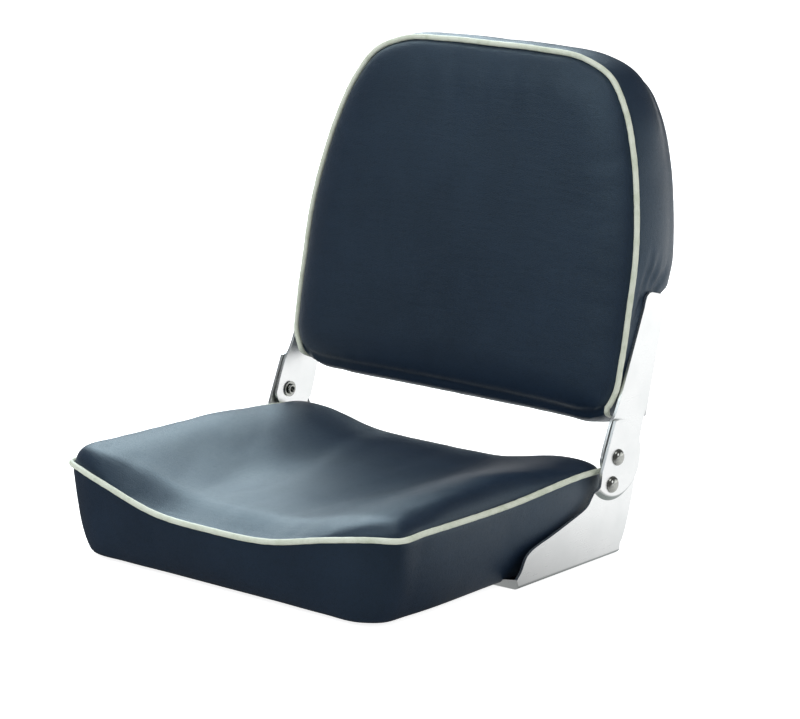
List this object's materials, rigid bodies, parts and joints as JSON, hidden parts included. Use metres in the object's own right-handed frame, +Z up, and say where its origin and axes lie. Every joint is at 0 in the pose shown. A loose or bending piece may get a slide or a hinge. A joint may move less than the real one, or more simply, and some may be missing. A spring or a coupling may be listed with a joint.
{
  "type": "folding boat seat",
  "caption": "low-back folding boat seat with bolstered cushion, piped vinyl cover and a backrest that folds forward on two metal hinge plates",
  "frame": {"origin": "centre of the pedestal pattern, on the underside of the seat board", "axes": "+Z up, +Y towards the backrest, +X to the sitter's left; the backrest is upright at rest"},
  "size_m": [0.4322, 0.4723, 0.4648],
  "materials": {
    "vinyl": "grained navy vinyl cover, soft sheen",
    "piping_vinyl": "pale vinyl piping",
    "satin_aluminium": "satin anodised sheet",
    "stainless": "polished stainless fasteners",
    "foam": "open-cell cushion foam",
    "moulded_board": "black moulded board",
    "nylon": "natural nylon"
  },
  "bodies": {
    "seat": {"bracket_insert_1": "stainless", "bracket_insert_2": "stainless", "bracket_insert_3": "stainless", "bracket_insert_4": "stainless", "bracket_screw_1": "stainless", "bracket_screw_2": "stainless", "bracket_screw_3": "stainless", "bracket_screw_4": "stainless", "lower_bracket_left": "satin_aluminium", "lower_bracket_right": "satin_aluminium", "pedestal_insert_1": "stainless", "pedestal_insert_2": "stainless", "pedestal_insert_3": "stainless", "pedestal_insert_4": "stainless", "pivot_rivet_left": "stainless", "pivot_rivet_right": "stainless", "pivot_spacer_left": "nylon", "pivot_spacer_right": "nylon", "pivot_washer_left": "stainless", "pivot_washer_right": "stainless", "seat_base_board": "moulded_board", "seat_boxing": "vinyl", "seat_foam": "foam", "seat_piping": "piping_vinyl", "seat_top_panel": "vinyl", "stop_bush_left": "nylon", "stop_bush_right": "nylon", "stop_rivet_left": "stainless", "stop_rivet_right": "stainless"},
    "backrest": {"arm_left": "satin_aluminium", "arm_right": "satin_aluminium", "arm_screw_1": "stainless", "arm_screw_2": "stainless", "arm_screw_3": "stainless", "arm_screw_4": "stainless", "back_board": "moulded_board", "back_boxing": "vinyl", "back_foam": "foam", "back_front_panel": "vinyl", "back_insert_1": "stainless", "back_insert_2": "stainless", "back_insert_3": "stainless", "back_insert_4": "stainless", "back_piping": "piping_vinyl", "back_rear_pad": "foam", "back_rear_panel": "vinyl"}
  },
  "joints": [
    {"name": "backrest_fold", "type": "hinge", "parent": "seat", "child": "backrest", "pos_m": [0, 0.15, 0.0937], "axis": [1, 0, 0], "range_deg": [0, 90]}
  ]
}
